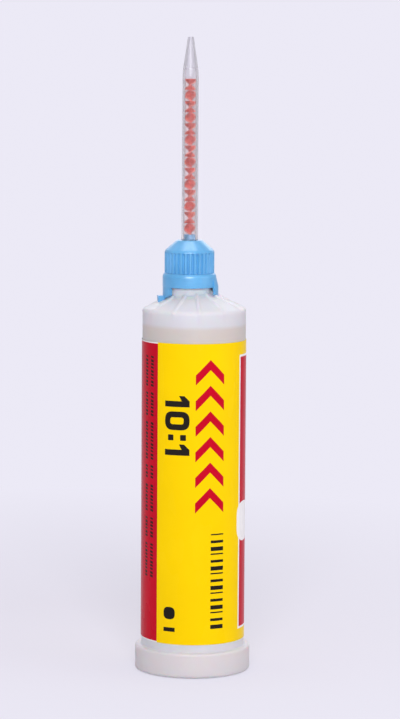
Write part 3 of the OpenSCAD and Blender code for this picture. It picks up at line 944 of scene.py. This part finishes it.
def fluteCut(turn, z):  # how deep a flute cuts in there
    pitch = fullTurn / nut["flutes"]
    across = (turn / pitch - round(turn / pitch)) * pitch * nut["outer"]
    share = 1 - smoothStep((abs(across) - nut["fluteHalfWidth"]) / nut["fluteFlank"])
    fade = smoothStep((nut["fluteHigh"] - 0.35 - z) / 0.5)
    return nut["fluteDepth"] * share * fade


def makeNut():
    outer, high = nut["outer"], nut["fluteHigh"]
    outline = [
        (nut["bore"], nutLow.z), (nut["skirt"], nutLow.z), (nut["skirt"], nut["fluteLow"]),
        (outer, nut["fluteLow"]), (outer, high), (nut["topRadius"], nut["top"]), (nut["throat"], nut["top"]),
        (nut["rootCone"], nut["ceiling"]), (nut["bore"], nut["ceiling"]),
    ]
    shaped = rounded(outline, [0.15, 0.15, 0.05, 0.05, 0.6, 0.3, 0.12, 0.1, 0.2], 5)
    rows = []
    for here, after in zip(shaped, shaped[1:] + shaped[:1]):
        rows.append(here)
        if here[0] > outer - 0.05 and after[0] > outer - 0.05:
            for k in range(1, 20):
                rows.append((here[0], here[1] + (after[1] - here[1]) * k / 20))
    bm = bmesh.new()
    addTurned(bm, rows, x=neckX, steps=nut["flutes"] * nut["fluteSteps"])
    cleaned(bm)
    for v in bm.verts:
        dx, dy = v.co.x - neckX, v.co.y
        radius = math.hypot(dx, dy)
        if radius > nut["skirt"] + 0.15:
            shrink = 1 - fluteCut(math.atan2(dy, dx), v.co.z) / radius
            v.co.x, v.co.y = neckX + dx * shrink, dy * shrink
    addNutLugs(bm)
    bmesh.ops.recalc_face_normals(bm, faces=bm.faces)
    return makePiece(bm, "fluteNut", blue, 34)


def addNutLugs(bm):  # the two lugs that hook under the neck's catches
    inner, outer = nut["lugInner"], nut["bore"] + 0.3
    under, over = nutLow.z + 0.02, nutLow.z + nut["lugHeight"]
    for side in (-90, 90):
        low, high = math.radians(side - nut["lugHalf"]), math.radians(side + nut["lugHalf"])
        start = [
            bm.verts.new((neckX + r * math.cos(low), r * math.sin(low), z))
            for r, z in ((inner, under), (outer, under), (outer, over), (inner, over))
        ]
        face = bm.faces.new(start)
        geom = start + list(face.edges) + [face]
        bmesh.ops.spin(bm, geom=geom, cent=(neckX, 0, 0), axis=(0, 0, 1), angle=high - low, steps=24)


for piece, node, body in (
    (makeCollar(), "locking_collar", "cartridge"),
    (makeNut(), "retaining_nut", "nut"),
):
    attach(piece, body)
    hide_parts(node)
print("collar and nut made")


# Mixer


def makeTube():
    tipStart = tubeHigh.z - mixer["tipLength"]
    boreEnd = tipStart - 0.9
    outline = [
        (mixer["bore"], tubeLow.z), (mixer["flange"], tubeLow.z), (mixer["flange"], mixer["flangeTop"]),
        (mixer["root"], mixer["flangeTop"]), (mixer["low"], nut["top"] - 0.1), (mixer["high"], tipStart),
        (mixer["tip"], tubeHigh.z), (mixer["tipBore"], tubeHigh.z), (mixer["bore"], boreEnd),
    ]
    shaped = rounded(outline, [0.1, 0.15, 0.15, 0.3, 0.5, 1.8, 0.12, 0.1, 1.8], 4)
    bm = bmesh.new()
    addTurned(bm, subdivided(shaped, 2.5), x=neckX, steps=mixer["steps"])
    cleaned(bm)
    return makePiece(bm, "nozzleTube", clear, 50)


def makeInlet():
    stub = (bladeHigh.x - bladeLow.x) / 2
    outline = [
        (mixer["stubBore"], inletHigh.z), (stub, inletHigh.z), (stub, mixer["plugTop"]),
        (mixer["plug"], mixer["plugTop"]), (mixer["plug"], barrelHigh.z), (mixer["stubBore"], barrelHigh.z),
    ]
    bm = bmesh.new()
    addTurned(bm, rounded(outline, [0.1, 0.15, 0.2, 0.15, 0.15, 0.1], 4), x=neckX, steps=72)
    cleaned(bm)
    # the inlet takes the lighter blue, which paints in the light it misses inside the nozzle
    return makePiece(bm, "mixerInlet", litInletBlue, 40)


def makeBlade():  # each element makes half a turn, the other way from the last and across its end
    width, core, edge = (bladeHigh.x - bladeLow.x) / 2 - 0.02, mixer["bladeCore"] / 2, mixer["bladeEdge"] / 2
    rise = (bladeHigh.z - bladeLow.z) / mixer["elements"]
    corners = [(-width, -edge), (0, -core), (width, -edge), (width, edge), (0, core), (-width, edge)]
    section = rounded(corners, [0.1, 0.4, 0.1, 0.1, 0.4, 0.1], 2)
    bm = bmesh.new()
    for k in range(mixer["elements"]):
        start = math.radians(90 * (k + 1))
        hand = -1 if k % 2 == 0 else 1
        verts = [bm.verts.new((x, y, bladeLow.z + k * rise)) for x, y in section]
        bmesh.ops.rotate(bm, cent=(0, 0, 0), matrix=Matrix.Rotation(start, 3, "Z"), verts=verts)
        face = bm.faces.new(verts)
        for step in range(mixer["bladeSteps"]):
            grown = bmesh.ops.extrude_face_region(bm, geom=[face])["geom"]
            ring = [g for g in grown if isinstance(g, bmesh.types.BMVert)]
            if step:
                bmesh.ops.delete(bm, geom=[face], context="FACES_ONLY")
            bmesh.ops.translate(bm, vec=(0, 0, rise / mixer["bladeSteps"]), verts=ring)
            turn = Matrix.Rotation(hand * math.pi / mixer["bladeSteps"], 3, "Z")
            bmesh.ops.rotate(bm, cent=(0, 0, 0), matrix=turn, verts=ring)
            face = [g for g in grown if isinstance(g, bmesh.types.BMFace)][0]
    bmesh.ops.recalc_face_normals(bm, faces=bm.faces)
    bmesh.ops.translate(bm, vec=(neckX, 0, 0), verts=bm.verts)
    return makePiece(bm, "mixingBlade", coral, 45)


for piece, node, slotName in (
    (makeTube(), "mixer_tube", "clear_plastic"),
    (makeInlet(), "mixer_inlet", "blue_plastic"),
    (makeBlade(), "mixing_elements", "coral_plastic"),
):
    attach(piece, "cartridge")
    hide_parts(node)
print("mixer made")


# Pieces of the frame that keep their own mesh

for node, material in (("activator_tube", milky), ("resin_piston", waxy), ("activator_piston", waxy)):
    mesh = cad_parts[node].data
    mesh.materials.clear()
    mesh.materials.append(material)


# Stage, light and camera

stage = {
    "paper": (0.838, 0.82, 0.922, 1),
    # the near floor's colour, darker than the paper: real light and shadow on it, and painted shade
    "shade": (0.64, 0.62, 0.7, 1),
    "dark": (0.5, 0.48, 0.52, 1),  # the room beside the paper, which only mirror images and clear pieces show
    "sideStart": 0.35,  # on the floor, in metres from the object's middle
    "sideFade": 0.5,
    "skyStart": 0.35,  # around it, as the sine of the angle to the side
    "skyFade": 0.4,
    "shadowed": 0.65,  # share of the near floor that takes real light and shadow, in the darker shade colour, so it also carries painted shade
    # the middle of that painted shade, behind the object
    "shadowAt": (-0.03, 0.1, 0),
    "reach": 0.24,  # how far from there that share runs out
    "worldLevel": 0.56,
    "width": 80.0,
    "front": 2.0,
    "back": 120.0,
}


def rayKinds(tree):  # camera rays, and the rays of mirror images and of views through clear pieces
    paths = tree.nodes.new("ShaderNodeLightPath")
    camera = Wire(tree, paths.outputs["Is Camera Ray"])
    bent = Wire(tree, paths.outputs["Is Glossy Ray"]) + Wire(tree, paths.outputs["Is Transmission Ray"])
    return camera, bent.clamped()


def paperMaterial():
    material = bpy.data.materials.new("paper")
    material.use_nodes = True
    tree = material.node_tree
    tree.nodes.clear()
    camera, bent = rayKinds(tree)
    place = Wire(tree, tree.nodes.new("ShaderNodeTexCoord").outputs["Object"])
    ends = {0: place, 1: stage["shadowAt"]}
    away = place.node("ShaderNodeVectorMath", {"operation": "DISTANCE"}, ends, "Value")
    # near shadowAt the floor turns to the darker lit colour: real shadow and painted shade
    near = (1 - away / stage["reach"]).clamped()
    aside = (place.split()[0].positive() - stage["sideStart"]) / stage["sideFade"]
    shown = (aside.clamped() * bent).mixed(stage["paper"], stage["dark"])
    plain = camera.node("ShaderNodeBsdfDiffuse", {}, {"Color": stage["shade"], "Roughness": 0.5})
    glow = camera.node("ShaderNodeEmission", {}, {"Color": shown, "Strength": 1.0})
    share = (camera + bent).clamped() * (1 - near * stage["shadowed"])
    both = camera.node("ShaderNodeMixShader", {}, {0: share, 1: plain, 2: glow})
    output = tree.nodes.new("ShaderNodeOutputMaterial")
    tree.links.new(both.socket, output.inputs["Surface"])
    return material


def makeFloor():
    bm = bmesh.new()
    bmesh.ops.create_grid(bm, x_segments=8, y_segments=8, size=1.0)
    for v in bm.verts:
        v.co.x *= stage["width"] / 2
        v.co.y = -stage["front"] + (v.co.y + 1) / 2 * (stage["front"] + stage["back"])
    mesh = bpy.data.meshes.new("floor")
    bm.to_mesh(mesh)
    bm.free()
    mesh.materials.append(paperMaterial())
    floor = bpy.data.objects.new("floor", mesh)
    bpy.context.scene.collection.objects.link(floor)
    floor.location.z = -0.0002


def makeWorld():
    world = bpy.data.worlds.new("studio")
    bpy.context.scene.world = world
    world.use_nodes = True
    tree = world.node_tree
    tree.nodes.clear()
    camera, bent = rayKinds(tree)
    direction = Wire(tree, tree.nodes.new("ShaderNodeTexCoord").outputs["Generated"])
    aside = ((direction.split()[0].positive() - stage["skyStart"]) / stage["skyFade"]).clamped()
    shown = (aside * bent).mixed(stage["paper"], stage["dark"])
    ambient = {"Color": (1, 0.99, 1, 1), "Strength": stage["worldLevel"]}
    level = camera.node("ShaderNodeBackground", {}, ambient)
    seen = camera.node("ShaderNodeBackground", {}, {"Color": shown, "Strength": 1.0})
    both = camera.node("ShaderNodeMixShader", {}, {0: (camera + bent).clamped(), 1: level, 2: seen})
    output = tree.nodes.new("ShaderNodeOutputWorld")
    tree.links.new(both.socket, output.inputs["Surface"])


lamps = {
    "keyLamp": {"place": (-0.14, -1.05, 0.52), "size": (0.5, 0.5), "power": 7.4},
    "topLamp": {"place": (0.01, 0.07, 1.0), "size": (0.55, 0.2), "power": 1.9},
    "fillLamp": {"place": (0.9, -0.45, 0.3), "size": (0.6, 0.6), "power": 1.4},
    "backLamp": {"place": (0.2, 0.8, 0.5), "size": (0.9, 0.4), "power": 2.0},
}
lampTarget = (0, 0, 0.09)


def addLamp(name, place, size, power):
    lamp = bpy.data.lights.new(name, "AREA")
    lamp.shape = "RECTANGLE"
    lamp.size, lamp.size_y = size
    lamp.energy = power
    holder = bpy.data.objects.new(name, lamp)
    holder.location = place
    holder.rotation_euler = (Vector(lampTarget) - Vector(place)).to_track_quat("-Z", "Y").to_euler()
    bpy.context.scene.collection.objects.link(holder)


camera = {
    "place": (-0.1187, -0.8449, 0.1875),
    "heading": 8.114,
    "down": 6.459,
    "roll": 0.374,
    "lens": 147.93,
}


def makeCamera():
    lens = bpy.data.cameras.new("camera")
    lens.lens = camera["lens"]
    lens.sensor_width = 36
    lens.clip_start = 0.01
    eye = bpy.data.objects.new("camera", lens)
    bpy.context.scene.collection.objects.link(eye)
    heading, down, roll = (math.radians(camera[k]) for k in ("heading", "down", "roll"))
    ahead = Vector((math.sin(heading), math.cos(heading), 0))
    forward = ahead * math.cos(down) - Vector((0, 0, math.sin(down)))
    level = Vector((math.cos(heading), -math.sin(heading), 0))
    upward = level.cross(forward)
    right = level * math.cos(roll) + upward * math.sin(roll)
    upright = upward * math.cos(roll) - level * math.sin(roll)
    turn = Matrix((right, upright, -forward)).transposed()
    eye.matrix_world = Matrix.Translation(camera["place"]) @ turn.to_4x4()
    bpy.context.scene.camera = eye


makeFloor()
makeWorld()
for name, lamp in lamps.items():
    addLamp(name, **lamp)
makeCamera()
bpy.context.scene.view_settings.view_transform = "Standard"
print("stage made")
